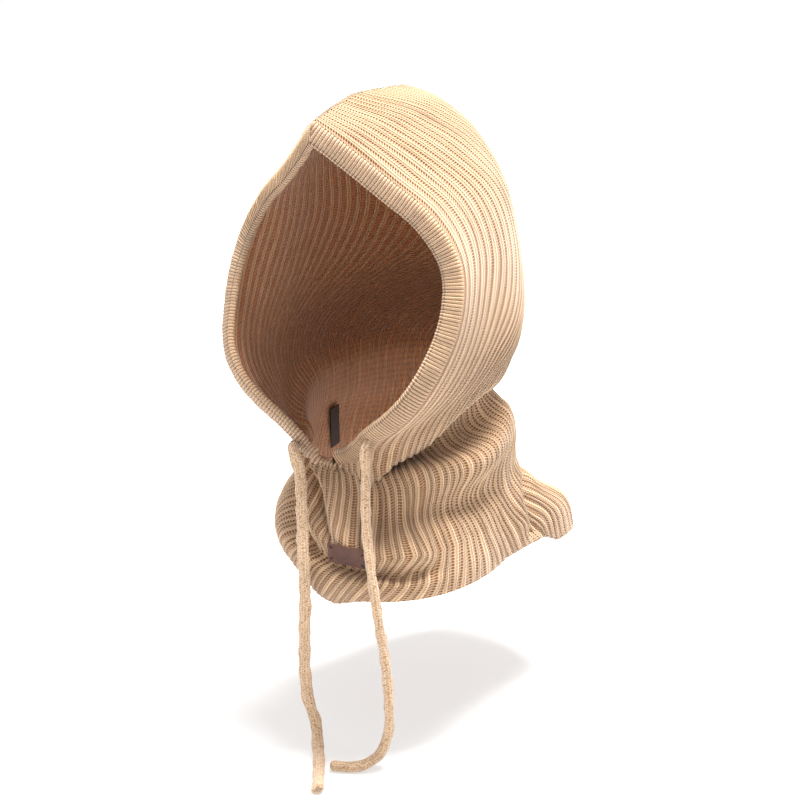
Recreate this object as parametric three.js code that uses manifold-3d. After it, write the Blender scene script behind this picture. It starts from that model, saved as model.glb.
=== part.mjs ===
// Ribbed knit hood joined to a neck cowl, with a drawstring in the face band.
// Millimetres, Z up, face opening towards -Y, wearer's left at +X.
// The tables are measured from the middle of the hem; the origin is moved to the
// inside of the crown at the end.
import * as THREE from 'three';
import { mergeVertices } from 'three/addons/utils/BufferGeometryUtils.js';
import Module from 'manifold-3d';

const WALL = 3.0;
const GAP = 0.4;
const CROWN = new THREE.Vector3(0, -10, 359);

const BAND_WIDTH = 15;
const BAND_THICK = 6.4;
const BAND_SKIN = 1.7;
const BAND_TURN = Math.PI / 6;
const BAND_STEPS = 80;
const BAND_SMOOTHING = 3;
const BAND_ROUND = 1.6;
// Low down the band lies behind the cowl's front, higher up it is flush with the hood.
const BAND_TUCK = { low: 85, high: 125, behind: -0.3, flush: 1 };
const OPENING_MIDDLE = new THREE.Vector3(0, -60, 215);

const CORD_DIAMETER = 8.4;
const CORD_SIDES = 8;
const CORD_STEPS = 34;
const RUN_WIDTH = 8.2;
const RUN_THICK = 2.2;
const EYELET_RADIUS = 2.6;
const EYELET_SIDES = 12;
const EYELET_X = { left: 42, right: -18.5 };

const PATCH = { width: 31, height: 15.5, thick: 1.3, corner: 1.6, u: 0.097, v: 0.042, tilt: -0.19 };
const STITCH = { length: 2.8, radius: 0.5, inset: 2.6, gap: 0.1 };
const LABEL = {
  width: 9, length: 40, thick: 0.8, corner: 0.5, top: [0.232, 0.544], bottom: [0.146, 0.603],
};
const WEARERS_LEFT = 1;
const WEARERS_RIGHT = -1;

// Half sections from the hem (u = 0) to the seam along the crown (u = 1).
// front, side, back: heights; yFront, ySide, yBack: depths; left, right: half widths;
// rim: half width of the face opening; lean: sideways place of the front middle;
// square: fullness of the back quarter.
const SECTIONS = [
  { u: 0.000, front: 0, side: 4, back: -4, yFront: -112, ySide: 15, yBack: 172,
    left: 97, right: 70, rim: 0, lean: 30, square: 3.1 },
  { u: 0.045, front: 13, side: 17, back: 9, yFront: -119, ySide: 15, yBack: 161,
    left: 97, right: 79, rim: 0, lean: 28, square: 2.9 },
  { u: 0.110, front: 36, side: 44, back: 28, yFront: -109, ySide: 12, yBack: 121,
    left: 92, right: 82, rim: 0, lean: 22, square: 2.4 },
  { u: 0.170, front: 56, side: 70, back: 54, yFront: -92, ySide: 8, yBack: 101,
    left: 89, right: 76, rim: 0, lean: 14, square: 2.1 },
  { u: 0.210, front: 68, side: 92, back: 88, yFront: -81, ySide: 6, yBack: 101,
    left: 88, right: 72, rim: 0, lean: 8, square: 2.1 },
  { u: 0.245, front: 75, side: 112, back: 117, yFront: -76, ySide: 4, yBack: 90,
    left: 75, right: 66, rim: 0, lean: 3, square: 2 },
  { u: 0.275, front: 80, side: 131, back: 141, yFront: -73, ySide: 3, yBack: 82,
    left: 69, right: 66, rim: 0, lean: 0, square: 2 },
  { u: 0.290, front: 84, side: 137, back: 149, yFront: -74, ySide: 3, yBack: 85,
    left: 73, right: 70, rim: 13, lean: 0, square: 2 },
  { u: 0.320, front: 101, side: 144, back: 160, yFront: -80, ySide: 2, yBack: 93,
    left: 83, right: 79, rim: 34, lean: 0, square: 2 },
  { u: 0.365, front: 122, side: 156, back: 172, yFront: -87, ySide: 6, yBack: 103,
    left: 91, right: 88, rim: 59, lean: 0, square: 2 },
  { u: 0.450, front: 158, side: 178, back: 193, yFront: -87, ySide: 8, yBack: 113,
    left: 95, right: 95, rim: 89, lean: 0, square: 2 },
  { u: 0.550, front: 205, side: 213, back: 220, yFront: -67, ySide: 8, yBack: 113,
    left: 94, right: 95, rim: 103, lean: 0, square: 2 },
  { u: 0.650, front: 250, side: 251, back: 252, yFront: -54, ySide: 8, yBack: 107,
    left: 89, right: 89, rim: 98, lean: 0, square: 2 },
  { u: 0.750, front: 287, side: 287, back: 287, yFront: -59, ySide: 10, yBack: 98,
    left: 79, right: 79, rim: 75.5, lean: 0.5, square: 2 },
  { u: 0.840, front: 312, side: 314, back: 314, yFront: -72, ySide: 10, yBack: 86,
    left: 63, right: 63, rim: 48, lean: 1, square: 2 },
  { u: 0.920, front: 335, side: 340, back: 338, yFront: -86, ySide: 6, yBack: 64,
    left: 43, right: 43, rim: 23, lean: 1, square: 2 },
  { u: 0.970, front: 346, side: 356, back: 353, yFront: -93, ySide: -14, yBack: 42,
    left: 24, right: 24, rim: 11, lean: 0.5, square: 2 },
  { u: 1.000, front: 354, side: 364, back: 361, yFront: -97, ySide: -42, yBack: 18,
    left: 0, right: 0, rim: 0, lean: 0, square: 2 },
];

// Folds: path as [u, v] points, v below 0 on the wearer's right.
// near and far are the widths to the two sides of the path, 1 being about 470 mm.
const FOLDS = [
  { name: 'pocket under the hood', way: 'normal',
    path: [[0.264, 0.20], [0.257, 0.30], [0.250, 0.40], [0.247, 0.48]],
    near: 0.020, far: 0.020, end: 0.05, depth: -7 },
  { name: 'swag below the pocket', way: 'normal',
    path: [[0.226, 0.26], [0.214, 0.36], [0.212, 0.44], [0.225, 0.54], [0.236, 0.66]],
    near: 0.020, far: 0.022, end: 0.04, depth: 7 },
  { name: 'hanging edge of the hood', way: 'up',
    path: [[0.286, 0.11], [0.289, 0.18], [0.293, 0.25]],
    near: 0.045, far: 0.030, end: 0.03, depth: -10 },
  { name: 'rounded edge of the hood', way: 'normal',
    path: [[0.288, 0.12], [0.296, 0.28], [0.302, 0.48], [0.300, 0.60]],
    near: 0.040, far: 0.025, end: 0.04, depth: 5 },
  { name: 'outer front column', way: 'normal',
    path: [[0.262, -0.19], [0.225, -0.165], [0.185, -0.13], [0.150, -0.085], [0.112, -0.015]],
    near: 0.030, far: 0.012, end: 0.02, depth: 7 },
  { name: 'outer front valley', way: 'normal',
    path: [[0.250, -0.245], [0.205, -0.215], [0.150, -0.165], [0.105, -0.09]],
    near: 0.030, far: 0.012, end: 0.02, depth: -6 },
  { name: 'inner front column', way: 'normal',
    path: [[0.245, -0.085], [0.215, -0.045], [0.180, -0.018], [0.145, 0.004], [0.112, 0.030]],
    near: 0.030, far: 0.011, end: 0.02, depth: 8 },
  { name: 'inner front valley', way: 'normal',
    path: [[0.235, -0.12], [0.206, -0.085], [0.165, -0.05], [0.125, -0.01]],
    near: 0.014, far: 0.011, end: 0.02, depth: -4 },
  { name: 'roll on the right', way: 'normal', path: [[0.085, -0.18], [0.088, -0.50]],
    near: 0.042, far: 0.042, end: 0.06, depth: 11 },
  { name: 'front roll', way: 'normal', path: [[0.100, 0.09], [0.088, 0.20]],
    near: 0.040, far: 0.010, end: 0.014, depth: 7 },
  { name: 'under the front roll', way: 'normal',
    path: [[0.160, -0.31], [0.125, -0.17], [0.098, -0.06], [0.085, 0.03], [0.077, 0.10], [0.066, 0.20]],
    near: 0.016, far: 0.016, end: 0.02, depth: -6 },
  { name: 'back flare', way: 'normal', path: [[0.130, 0.76], [0.000, 0.74]],
    near: 0.050, far: 0.050, end: 0.05, depth: 8 },
  { name: 'hanging back corner', way: 'up', path: [[0.000, 0.66], [0.000, 0.76]],
    near: 0.030, far: 0.030, end: 0.03, depth: -15 },
  { name: 'hollow below the neck', way: 'normal', path: [[0.165, 0.20], [0.150, 0.45]],
    near: 0.025, far: 0.025, end: 0.05, depth: -4 },
];
// Length of a half row against the length of a column, and the least fold width the mesh can hold.
const AROUND = 0.62;
const NARROWEST_FOLD = 0.017;
// How a section's height passes from the front or back value to the side value.
const HEIGHT_POWER = 1.5;

// The face opening starts at the row RIM_START; from RIM_OPEN on the sides run straight into it.
const RIM_START = 0.275;
const RIM_OPEN = 0.365;
// Rows of the knit's mesh, closer where the folds and the start of the face opening are.
const ROWS = [0, 0.02, 0.045, 0.07, 0.095, 0.12, 0.15, 0.18, 0.205, 0.225, 0.245, 0.26, 0.275,
  0.2825, 0.29, 0.305, 0.32, 0.34, 0.365, 0.4, 0.45, 0.5, 0.55, 0.6, 0.65, 0.7, 0.75, 0.795,
  0.84, 0.88, 0.92, 0.95, 0.975, 1];
// Columns of a half, closer near the front than near the back.
const COLUMNS = 24;
const COLUMN_BIAS = 0.6;
const ARC_STEPS = 120;
const NORMAL_STEP = 0.004;
const PATCH_STEP = 0.025;
// Points tested along a triangle's edge and depth searched when a plate is set on the knit.
const CLEARANCE_SPLIT = 8;
const CLEARANCE_DEPTH = 9;

// Free cords from the eyelet down to the surface that their ends lie on.
const CORDS = {
  left: [[42, -96, 88], [48.5, -106, 62], [60, -118, 36], [67, -123, 14], [69.5, -121, -8],
    [74, -118, -45], [75.5, -116, -85], [71.5, -113, -104], [66, -117, -118], [58, -129, -124],
    [38.5, -140.5, -124]],
  right: [[-16.5, -97, 88], [-10.5, -104, 68], [-1.5, -116, 50], [6, -126, 32], [7.5, -127, 14],
    [5, -123, -8], [1, -119, -45], [2, -117, -85], [8, -116, -104], [16, -124, -119],
    [30, -143, -124], [54, -179, -124]],
};

const material = (name, color, roughness) =>
  Object.assign(new THREE.MeshStandardMaterial({ color, roughness, metalness: 0 }), { name });
const KNIT = material('knit', 0xdcbf9c, 0.95);
const CORD_KNIT = material('cord_knit', 0xe0c6a6, 0.95);
const LEATHER = material('leather', 0x70483a, 0.6);
const LABEL_CLOTH = material('label', 0x3a1e0e, 0.8);
const THREAD = material('thread', 0x2a1a14, 0.8);

const vec = (a) => new THREE.Vector3(a[0], a[1], a[2]);

// Smooth curve through the rows of a table, for one of its columns.
function column(key) {
  const u = SECTIONS.map((row) => row.u);
  const f = SECTIONS.map((row) => row[key]);
  const last = u.length - 1;
  const rise = (i) => (f[i + 1] - f[i]) / (u[i + 1] - u[i]);
  const slope = u.map((_, i) => {
    if (i === 0) return rise(0);
    if (i === last) return rise(last - 1);
    const share = (u[i + 1] - u[i]) / (u[i + 1] - u[i - 1]);
    return rise(i - 1) * share + rise(i) * (1 - share);
  });
  return (x) => {
    let i = 0;
    while (i < last - 1 && x >= u[i + 1]) i += 1;
    const h = u[i + 1] - u[i];
    const t = (x - u[i]) / h;
    const t2 = t * t;
    const t3 = t2 * t;
    return (2 * t3 - 3 * t2 + 1) * f[i] + (t3 - 2 * t2 + t) * h * slope[i]
      + (3 * t2 - 2 * t3) * f[i + 1] + (t3 - t2) * h * slope[i + 1];
  };
}
const at = Object.fromEntries(Object.keys(SECTIONS[0]).filter((key) => key !== 'u')
  .map((key) => [key, column(key)]));

// One half section as points and running lengths, from the front to the back.
const sectionCache = new Map();
function halfSection(u, side) {
  const key = `${u} ${side}`;
  if (sectionCache.has(key)) return sectionCache.get(key);
  const width = side > 0 ? at.left(u) : at.right(u);
  const open = THREE.MathUtils.smoothstep(u, RIM_START, RIM_OPEN);
  const quarter = (angle, back) => {
    const s = Math.sin(angle);
    const c = Math.max(0, Math.cos(angle));
    if (!back) {
      const line = 1 - angle / (Math.PI / 2);
      return new THREE.Vector3(
        (at.rim(u) + (width - at.rim(u)) * s) * side + at.lean(u) * c,
        at.ySide(u) + (at.yFront(u) - at.ySide(u)) * (c + (line - c) * open),
        at.side(u) + (at.front(u) - at.side(u)) * (c ** HEIGHT_POWER + (line - c ** HEIGHT_POWER) * open));
    }
    const power = 2 / at.square(u);
    return new THREE.Vector3(
      width * side * c ** power,
      at.ySide(u) + (at.yBack(u) - at.ySide(u)) * s ** power,
      at.side(u) + (at.back(u) - at.side(u)) * s ** HEIGHT_POWER);
  };
  const points = [];
  for (let k = 0; k <= ARC_STEPS; k += 1) points.push(quarter(k / ARC_STEPS * Math.PI / 2, false));
  for (let k = 1; k <= ARC_STEPS; k += 1) points.push(quarter(k / ARC_STEPS * Math.PI / 2, true));
  const lengths = [0];
  for (let k = 1; k < points.length; k += 1) {
    lengths.push(lengths[k - 1] + points[k].distanceTo(points[k - 1]));
  }
  const result = { points, lengths };
  sectionCache.set(key, result);
  return result;
}

function basePoint(u, v, side) {
  const { points, lengths } = halfSection(u, side);
  const want = Math.min(1, Math.max(0, v)) * lengths[lengths.length - 1];
  let k = 0;
  while (k < lengths.length - 2 && lengths[k + 1] < want) k += 1;
  const span = lengths[k + 1] - lengths[k];
  return points[k].clone().lerp(points[k + 1], span > 0 ? (want - lengths[k]) / span : 0);
}

function baseNormal(u, v, side) {
  const step = NORMAL_STEP;
  const up = basePoint(Math.min(1, u + step), v, side).sub(basePoint(Math.max(0, u - step), v, side));
  const along = basePoint(u, v + step, side).sub(basePoint(u, v - step, side));
  return along.cross(up).multiplyScalar(side).normalize();
}

// Signed distance from a fold's path and the distance past its ends.
function fromPath(u, v, path) {
  let best = null;
  for (let k = 0; k + 1 < path.length; k += 1) {
    const au = path[k + 1][0] - path[k][0];
    const av = (path[k + 1][1] - path[k][1]) * AROUND;
    const length = Math.hypot(au, av);
    const pu = u - path[k][0];
    const pv = (v - path[k][1]) * AROUND;
    const along = (pu * au + pv * av) / length;
    const beside = (pv * au - pu * av) / length;
    const past = along - Math.min(length, Math.max(0, along));
    const reach = Math.hypot(beside, past);
    if (!best || reach < best.reach) best = { reach, beside, past };
  }
  return best;
}

function surfacePoint(u, v, side) {
  const point = basePoint(u, v, side);
  const normal = baseNormal(u, v, side);
  for (const fold of FOLDS) {
    const { beside, past } = fromPath(u, v * side, fold.path);
    const width = Math.max(NARROWEST_FOLD, beside > 0 ? fold.far : fold.near);
    const end = Math.max(NARROWEST_FOLD, fold.end);
    const size = fold.depth * Math.exp(-((beside / width) ** 2) - (past / end) ** 2);
    if (fold.way === 'up') point.z += size;
    else point.addScaledVector(normal, size);
  }
  return point;
}

function meshOf(name, points, faces, mat) {
  const geometry = new THREE.BufferGeometry();
  geometry.setAttribute('position', new THREE.Float32BufferAttribute(points.flatMap((p) => p.toArray()), 3));
  geometry.setIndex(faces.flat());
  return finish(name, geometry, mat);
}

function finish(name, geometry, mat) {
  geometry.deleteAttribute('normal');
  geometry.deleteAttribute('uv');
  const merged = mergeVertices(geometry, 1e-4);
  merged.translate(-CROWN.x, -CROWN.y, -CROWN.z);
  merged.computeVertexNormals();
  const mesh = new THREE.Mesh(merged, mat);
  mesh.name = name;
  return mesh;
}

// Knit body: one wall from the hem to the crown seam, open at the hem and the face.
function knitBody() {
  const lastRow = ROWS.length - 1;
  const lastColumn = 2 * COLUMNS;
  const rimRow = ROWS.indexOf(RIM_START);
  const place = (j) => {
    const side = j <= COLUMNS ? 1 : -1;
    const t = (side > 0 ? j : lastColumn - j) / COLUMNS;
    return { side, v: t * (COLUMN_BIAS + (1 - COLUMN_BIAS) * t) };
  };
  const outer = [];
  const index = [];
  ROWS.forEach((u, i) => {
    index.push([]);
    for (let j = 0; j <= lastColumn; j += 1) {
      if (i <= rimRow && j === lastColumn) index[i].push(index[i][0]);
      else if (i === lastRow && j > COLUMNS) index[i].push(index[i][lastColumn - j]);
      else {
        const { side, v } = place(j);
        const point = surfacePoint(u, v, side);
        if (i === lastRow || j === COLUMNS) point.x = 0;
        index[i].push(outer.push(point) - 1);
      }
    }
  });
  const skin = [];
  for (let i = 0; i < lastRow; i += 1) {
    for (let j = 0; j < lastColumn; j += 1) {
      const [a, b, c, d] = [index[i][j], index[i][j + 1], index[i + 1][j + 1], index[i + 1][j]];
      skin.push([a, b, c], [a, c, d]);
    }
  }
  const normals = outer.map(() => new THREE.Vector3());
  for (const [a, b, c] of skin) {
    const n = outer[b].clone().sub(outer[a]).cross(outer[c].clone().sub(outer[a]));
    for (const k of [a, b, c]) normals[k].add(n);
  }
  const inner = outer.map((p, k) => p.clone().addScaledVector(normals[k].normalize(), -WALL));
  const shift = outer.length;
  const faces = [...skin, ...skin.map(([a, b, c]) => [a + shift, c + shift, b + shift])];
  const edge = (a, b) => faces.push([a, b, b + shift], [a, b + shift, a + shift]);
  for (let j = 0; j < lastColumn; j += 1) edge(index[0][j + 1], index[0][j]);
  for (let i = rimRow; i < lastRow; i += 1) {
    edge(index[i][0], index[i + 1][0]);
    edge(index[i + 1][lastColumn], index[i][lastColumn]);
  }
  const rim = [];
  const addRim = (k) => rim.push({ middle: outer[k].clone().lerp(inner[k], 0.5), normal: normals[k] });
  for (let i = rimRow; i < lastRow; i += 1) addRim(index[i][0]);
  for (let i = lastRow; i > rimRow; i -= 1) addRim(index[i][lastColumn]);
  return { mesh: meshOf('knit_body', [...outer, ...inner], faces, KNIT), rim };
}

function smoothRing(vectors, times) {
  let ring = vectors;
  for (let n = 0; n < times; n += 1) {
    ring = ring.map((p, k) => ring[(k + 1) % ring.length].clone()
      .add(ring[(k + ring.length - 1) % ring.length]).addScaledVector(p, 2).multiplyScalar(0.25));
  }
  return ring;
}

// Frames along the face band: centre, width direction and face direction.
function bandFrames(rim) {
  const sample = (vectors) => {
    const curve = new THREE.CatmullRomCurve3(vectors, true, 'centripetal');
    const steps = [...Array(BAND_STEPS).keys()];
    return smoothRing(steps.map((k) => curve.getPoint(k / BAND_STEPS)), BAND_SMOOTHING);
  };
  const middles = sample(rim.map((r) => r.middle));
  const normals = sample(rim.map((r) => r.normal));
  return middles.map((middle, k) => {
    const tangent = middles[(k + 1) % BAND_STEPS].clone()
      .sub(middles[(k + BAND_STEPS - 1) % BAND_STEPS]).normalize();
    const level = (v) => v.addScaledVector(tangent, -v.dot(tangent)).normalize();
    const outward = level(normals[k].clone());
    const onward = outward.clone().cross(tangent);
    const ahead = level(new THREE.Vector3(0, -1, 0));
    const inward = ahead.clone().cross(tangent);
    const across = inward.clone().multiplyScalar(Math.cos(BAND_TURN))
      .addScaledVector(ahead, Math.sin(BAND_TURN));
    const face = ahead.clone().multiplyScalar(Math.cos(BAND_TURN))
      .addScaledVector(inward, -Math.sin(BAND_TURN));
    const reach = (v) => BAND_WIDTH / 2 * Math.abs(across.dot(v)) + BAND_THICK / 2 * Math.abs(face.dot(v));
    const tuck = THREE.MathUtils.lerp(BAND_TUCK.behind, BAND_TUCK.flush,
      THREE.MathUtils.smoothstep(middle.z, BAND_TUCK.low, BAND_TUCK.high));
    const centre = middle.clone().addScaledVector(onward, GAP + reach(onward))
      .addScaledVector(outward, (WALL / 2 - reach(outward)) * tuck);
    return { centre, across, face };
  });
}

function ringProfile(width, thick, round) {
  const [a, b] = [width / 2, thick / 2];
  return [[a, b - round], [a - round, b], [round - a, b], [-a, b - round],
    [-a, round - b], [round - a, -b], [a - round, -b], [a, round - b]];
}

function ringGeometry(frames, profile) {
  const points = frames.flatMap((f) => profile.map(([x, y]) =>
    f.centre.clone().addScaledVector(f.across, x).addScaledVector(f.face, y)));
  const faces = [];
  const n = profile.length;
  for (let k = 0; k < frames.length; k += 1) {
    const next = (k + 1) % frames.length;
    for (let p = 0; p < n; p += 1) {
      const q = (p + 1) % n;
      const [a, b, c, d] = [k * n + p, k * n + q, next * n + q, next * n + p];
      faces.push([a, b, c], [a, c, d]);
    }
  }
  const volume = faces.reduce((sum, [a, b, c]) =>
    sum + points[a].dot(points[b].clone().cross(points[c])), 0);
  if (volume < 0) faces.forEach((f) => f.reverse());
  const geometry = new THREE.BufferGeometry();
  geometry.setAttribute('position', new THREE.Float32BufferAttribute(points.flatMap((p) => p.toArray()), 3));
  geometry.setIndex(faces.flat());
  return geometry;
}

function solidOf(wasm, geometry) {
  const clean = geometry.clone();
  clean.deleteAttribute('normal');
  clean.deleteAttribute('uv');
  const merged = mergeVertices(clean, 1e-4);
  return new wasm.Manifold(new wasm.Mesh({
    numProp: 3,
    vertProperties: new Float32Array(merged.attributes.position.array),
    triVerts: new Uint32Array(merged.index.array),
  }));
}

function geometryOf(solid) {
  const mesh = solid.getMesh();
  const geometry = new THREE.BufferGeometry();
  geometry.setAttribute('position', new THREE.BufferAttribute(mesh.vertProperties, 3));
  geometry.setIndex(new THREE.BufferAttribute(mesh.triVerts, 1));
  return geometry;
}

function eyeletFrame(frames, x) {
  return frames.filter((f) => f.centre.z < OPENING_MIDDLE.z)
    .reduce((best, f) => (Math.abs(f.centre.x - x) < Math.abs(best.centre.x - x) ? f : best));
}

// Casing around the face opening, hollow, with an eyelet for each end of the drawstring.
function faceBand(wasm, frames) {
  let solid = solidOf(wasm, ringGeometry(frames, ringProfile(BAND_WIDTH, BAND_THICK, BAND_ROUND)));
  const hollow = ringProfile(BAND_WIDTH - 2 * BAND_SKIN, BAND_THICK - 2 * BAND_SKIN,
    BAND_ROUND / 2);
  solid = solid.subtract(solidOf(wasm, ringGeometry(frames, hollow)));
  for (const x of Object.values(EYELET_X)) {
    const f = eyeletFrame(frames, x);
    const bore = new THREE.CylinderGeometry(EYELET_RADIUS, EYELET_RADIUS, BAND_THICK, EYELET_SIDES);
    bore.applyQuaternion(new THREE.Quaternion().setFromUnitVectors(new THREE.Vector3(0, 1, 0), f.face));
    const mid = f.centre.clone().addScaledVector(f.face, BAND_THICK / 2);
    bore.translate(mid.x, mid.y, mid.z);
    solid = solid.subtract(solidOf(wasm, bore));
  }
  return finish('face_band', geometryOf(solid), KNIT);
}

function freeCord(name, frames, x, points) {
  const f = eyeletFrame(frames, x);
  const start = f.centre.clone().addScaledVector(f.face, BAND_THICK / 2 + CORD_DIAMETER / 2 + GAP);
  const path = new THREE.CatmullRomCurve3([start, ...points.map(vec)], false, 'centripetal');
  const round = new THREE.Shape();
  for (let k = 0; k < CORD_SIDES; k += 1) {
    const angle = 2 * Math.PI * k / CORD_SIDES;
    const [px, py] = [Math.cos(angle) * CORD_DIAMETER / 2, Math.sin(angle) * CORD_DIAMETER / 2];
    if (k === 0) round.moveTo(px, py);
    else round.lineTo(px, py);
  }
  round.closePath();
  const options = { steps: CORD_STEPS, extrudePath: path, bevelEnabled: false };
  return finish(name, new THREE.ExtrudeGeometry(round, options), CORD_KNIT);
}

// Flat plate with cut corners, lying on the knit.
function platePoints(frame, width, height, cut) {
  const [a, b] = [width / 2, height / 2];
  return [[-a, cut - b], [cut - a, -b], [a - cut, -b], [a, cut - b],
    [a, b - cut], [a - cut, b], [cut - a, b], [-a, b - cut]].map(([x, y]) =>
    frame.centre.clone().addScaledVector(frame.across, x).addScaledVector(frame.up, y));
}

function plate(name, frame, width, height, cut, thick, mat) {
  const low = platePoints(frame, width, height, cut);
  const high = low.map((p) => p.clone().addScaledVector(frame.normal, thick));
  const faces = [];
  for (let k = 1; k < 7; k += 1) {
    faces.push([0, k + 1, k], [8, 8 + k, 9 + k]);
  }
  for (let k = 0; k < 8; k += 1) {
    const n = (k + 1) % 8;
    faces.push([k, n, 8 + n], [k, 8 + n, 8 + k]);
  }
  return meshOf(name, [...low, ...high], faces, mat);
}

// Highest point of the meshed knit over a plate, along the plate's normal.
function clearance(body, frame, width, height) {
  const position = body.geometry.attributes.position;
  const index = body.geometry.index;
  const corner = [0, 1, 2].map(() => new THREE.Vector3());
  let highest = -Infinity;
  for (let f = 0; f < index.count; f += 3) {
    corner.forEach((p, k) => p.fromBufferAttribute(position, index.getX(f + k)).add(CROWN)
      .sub(frame.centre));
    const n = CLEARANCE_SPLIT;
    for (let s = 0; s <= n; s += 1) {
      for (let t = 0; t <= n - s; t += 1) {
        const p = corner[0].clone().multiplyScalar(s / n).addScaledVector(corner[1], t / n)
          .addScaledVector(corner[2], (n - s - t) / n);
        const near = Math.abs(p.dot(frame.normal)) < CLEARANCE_DEPTH;
        const inside = Math.abs(p.dot(frame.across)) < width / 2 + 1
          && Math.abs(p.dot(frame.up)) < height / 2 + 1;
        if (near && inside) highest = Math.max(highest, p.dot(frame.normal));
      }
    }
  }
  return highest;
}

function patchFrame(body) {
  const on = (du, dv) => surfacePoint(PATCH.u + du, PATCH.v + dv, WEARERS_LEFT);
  const centre = on(0, 0);
  const run = on(0, PATCH_STEP).sub(on(0, -PATCH_STEP));
  const rise = on(PATCH_STEP / 2, 0).sub(on(-PATCH_STEP / 2, 0));
  const normal = run.clone().cross(rise).normalize();
  const across = run.normalize().applyAxisAngle(normal, PATCH.tilt);
  const frame = { centre, normal, across, up: normal.clone().cross(across) };
  const lift = clearance(body, frame, PATCH.width, PATCH.height) + GAP;
  centre.addScaledVector(normal, lift);
  return frame;
}

function leatherPatch(frame) {
  const { width, height, corner, thick } = PATCH;
  const parts = [plate('leather_patch', frame, width, height, corner, thick, LEATHER)];
  const [a, b] = [PATCH.width / 2 - STITCH.inset, PATCH.height / 2 - STITCH.inset];
  [[-a, -b], [a, -b], [a, b], [-a, b]].forEach(([x, y], k) => {
    const across = frame.across.clone().multiplyScalar(Math.sign(x)).addScaledVector(frame.up, Math.sign(y))
      .normalize();
    const spot = frame.centre.clone().addScaledVector(frame.across, x).addScaledVector(frame.up, y)
      .addScaledVector(frame.normal, PATCH.thick + STITCH.gap);
    const bar = { centre: spot, normal: frame.normal, across, up: frame.normal.clone().cross(across) };
    parts.push(plate(`patch_stitch_${k + 1}`, bar, STITCH.length, 2 * STITCH.radius, STITCH.radius / 2,
      STITCH.radius, THREAD));
  });
  return parts;
}

function innerLabel(body) {
  const on = ([u, v]) => surfacePoint(u, v, WEARERS_RIGHT);
  const [top, bottom] = [on(LABEL.top), on(LABEL.bottom)];
  const middle = [(LABEL.top[0] + LABEL.bottom[0]) / 2, (LABEL.top[1] + LABEL.bottom[1]) / 2];
  const up = top.clone().sub(bottom).normalize();
  const outward = baseNormal(middle[0], middle[1], WEARERS_RIGHT);
  const normal = outward.clone().negate();
  normal.addScaledVector(up, -normal.dot(up)).normalize();
  const centre = on(middle);
  const frame = { centre, normal, across: up.clone().cross(normal), up };
  const lift = clearance(body, frame, LABEL.width, LABEL.length) + GAP;
  centre.addScaledVector(normal, lift);
  return plate('inner_label', frame, LABEL.width, LABEL.length, LABEL.corner, LABEL.thick, LABEL_CLOTH);
}

const wasm = await Module();
wasm.setup();

const hood = new THREE.Group();
hood.name = 'knit_hood';
const { mesh: body, rim } = knitBody();
const frames = bandFrames(rim);
hood.add(body, faceBand(wasm, frames));
const runProfile = ringProfile(RUN_WIDTH, RUN_THICK, RUN_THICK / 4);
hood.add(finish('drawstring_run', ringGeometry(frames, runProfile), CORD_KNIT));
hood.add(freeCord('drawstring_left', frames, EYELET_X.left, CORDS.left));
hood.add(freeCord('drawstring_right', frames, EYELET_X.right, CORDS.right));
leatherPatch(patchFrame(body)).forEach((mesh) => hood.add(mesh));
hood.add(innerLabel(body));

export default hood;
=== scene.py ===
import math

import bmesh
import bpy
import numpy as np
from mathutils import Matrix, Vector


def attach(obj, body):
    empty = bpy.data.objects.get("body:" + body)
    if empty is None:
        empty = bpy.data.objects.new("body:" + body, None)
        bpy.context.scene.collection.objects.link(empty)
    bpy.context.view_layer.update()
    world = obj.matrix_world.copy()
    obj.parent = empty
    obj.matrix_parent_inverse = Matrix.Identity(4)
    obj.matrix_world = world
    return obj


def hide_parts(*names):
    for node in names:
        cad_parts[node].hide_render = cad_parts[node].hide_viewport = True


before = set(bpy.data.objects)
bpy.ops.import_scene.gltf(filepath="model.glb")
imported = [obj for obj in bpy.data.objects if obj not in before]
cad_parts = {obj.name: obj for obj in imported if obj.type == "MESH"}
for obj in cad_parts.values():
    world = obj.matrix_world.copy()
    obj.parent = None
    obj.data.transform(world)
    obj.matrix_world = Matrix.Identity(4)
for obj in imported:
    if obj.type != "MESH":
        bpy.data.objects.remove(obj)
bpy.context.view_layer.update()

# A ribbed knit hood with a neck cowl, a drawstring in its face band and a leather patch.
#
# Lengths are millimetres in the frame of the tables, whose origin is the middle of the hem.
# ORIGIN is the part's own origin in that frame, at the inside of the crown.
MM = 0.001
ORIGIN = np.array([0.0, -10.0, 359.0])
LEFT = 1
RIGHT = -1

# Camera: where it stands and how large the hood comes out.
VIEW_TURN = math.radians(33)
VIEW_RISE = math.radians(16)
VIEW_DISTANCE = 2000.0
PIXELS_PER_MM = 1.3
IMAGE = 800
TARGET = np.array([0.0, 20.0, 180.0])
TARGET_PIXEL = (404, 317)
SENSOR = 36.0
CLIP = (0.1, 100)

# Knit: its wall, its ribs and courses, and the rows and columns of its mesh.
WALL = 3.0
INSIDE_DEPTH = WALL * 0.95
CHIN_WALL = 1.0
WALES = {LEFT: 50, RIGHT: 62}
COLUMNS_PER_WALE = 6
COLUMNS_INSIDE = 150
COURSE = 2.25
COURSE_INSIDE = 3.0
HEM_TO_CROWN = 470
ROWS = [(0.0, 0.24, 58), (0.24, 0.32, 40), (0.32, 1.0, 66)]
SECTION_STEPS = 181
SECTION_RISE = 1.5
NORMAL_STEP = 0.004
MERGE = 0.002

# u where the face opening begins, and where its sections are fully open.
RIM_START = 0.275
RIM_OPEN = 0.365

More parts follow.
